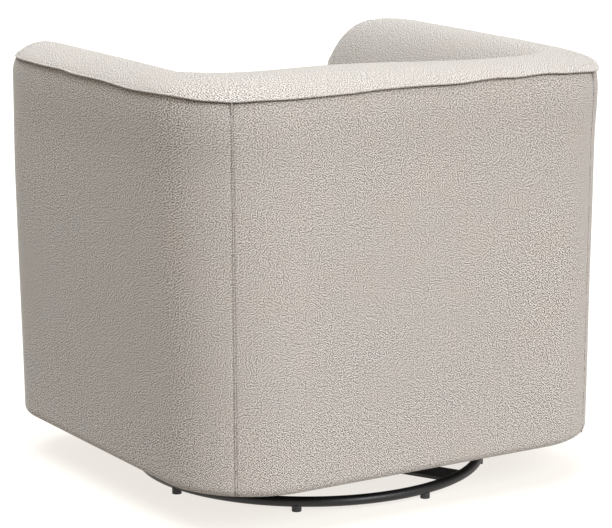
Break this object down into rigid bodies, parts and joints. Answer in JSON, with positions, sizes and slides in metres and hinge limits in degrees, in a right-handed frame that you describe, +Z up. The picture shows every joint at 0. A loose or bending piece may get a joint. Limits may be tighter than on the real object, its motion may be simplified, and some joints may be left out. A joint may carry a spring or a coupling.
{
  "type": "swivel rocker chair",
  "caption": "Padded tub armchair of one height all round, on a round tube base with a ball-bearing swivel and a sprung rocker.",
  "frame": {"origin": "on the floor, under the middle of the body's plan", "axes": "+Z up, the sitter faces -Y, +X towards the sitter's left"},
  "size_m": [0.766, 0.698, 0.6655],
  "materials": {
    "black_steel": "black powder coat, satin",
    "zinc_steel": "zinc plated",
    "race_steel": "oiled pressed steel",
    "spring_steel": "oil-blackened spring steel",
    "glide_plastic": "black moulded plastic",
    "nylon": "natural nylon",
    "stop_rubber": "black rubber",
    "hardwood": "planed, unfinished",
    "plywood": "plywood, unfinished",
    "fibreboard": "brown fibreboard",
    "webbing": "woven elastic",
    "dust_cloth": "black non-woven cloth",
    "deck_felt": "needled felt",
    "twill_fabric": "heathered oatmeal broken twill over padding"
  },
  "bodies": {
    "base": {"base_ring": "black_steel", "base_cross": "black_steel", "glides": "glide_plastic", "glide_stems": "zinc_steel", "lower_race": "race_steel", "king_bolt": "zinc_steel", "king_washer": "zinc_steel", "king_nut": "zinc_steel", "lower_rivets": "zinc_steel"},
    "cage": {"ball_cage": "nylon", "bearing_balls": "race_steel"},
    "carrier": {"upper_race": "race_steel", "upper_rivets": "zinc_steel", "carrier_plate": "black_steel", "pivot_shaft": "zinc_steel", "shaft_clips": "zinc_steel", "lower_spring_cups": "spring_steel", "rubber_stops": "stop_rubber", "rocker_springs": "spring_steel"},
    "seat": {"rocker_bracket": "black_steel", "pivot_bushes": "nylon", "upper_spring_cups": "spring_steel", "bracket_bolts": "zinc_steel", "bracket_nuts": "zinc_steel", "cross_rails": "hardwood", "corner_blocks": "hardwood", "bottom_rail_front": "hardwood", "bottom_rail_rear": "hardwood", "bottom_side_rails": "hardwood", "seat_rail_front": "hardwood", "seat_rail_rear": "hardwood", "seat_side_rails": "hardwood", "front_posts": "hardwood", "rear_posts": "hardwood", "back_stiles": "hardwood", "corner_formers": "plywood", "top_rail_back": "hardwood", "top_side_rails": "hardwood", "top_board": "plywood", "back_board": "fibreboard", "side_board_left": "fibreboard", "side_board_right": "fibreboard", "front_board": "fibreboard", "arm_liners": "fibreboard", "back_webbing": "webbing", "seat_springs": "spring_steel", "spring_clips": "zinc_steel", "seat_deck": "deck_felt", "dust_cover": "dust_cloth", "cover_back": "twill_fabric", "cover_left": "twill_fabric", "cover_right": "twill_fabric", "front_border": "twill_fabric", "top_lip": "twill_fabric", "top_pad": "twill_fabric", "inside_back_pad": "twill_fabric", "inside_arm_left": "twill_fabric", "inside_arm_right": "twill_fabric", "seat_cushion": "twill_fabric"}
  },
  "joints": [
    {"name": "swivel", "type": "hinge", "parent": "base", "child": "carrier", "pos_m": [0, 0.008, 0.0235], "axis": [0, 0, 1], "continuous": true},
    {"name": "cage_turn", "type": "hinge", "parent": "base", "child": "cage", "pos_m": [0, 0.008, 0.0235], "axis": [0, 0, 1], "continuous": true},
    {"name": "rock", "type": "hinge", "parent": "carrier", "child": "seat", "pos_m": [0, 0.008, 0.085], "axis": [1, 0, 0], "range_deg": [-7, 7], "stiffness_Nm_per_rad": 800, "deforming": ["rocker_springs"]}
  ],
  "couplings": [
    {"joint": "cage_turn", "follows": "swivel", "ratio": 0.5}
  ]
}
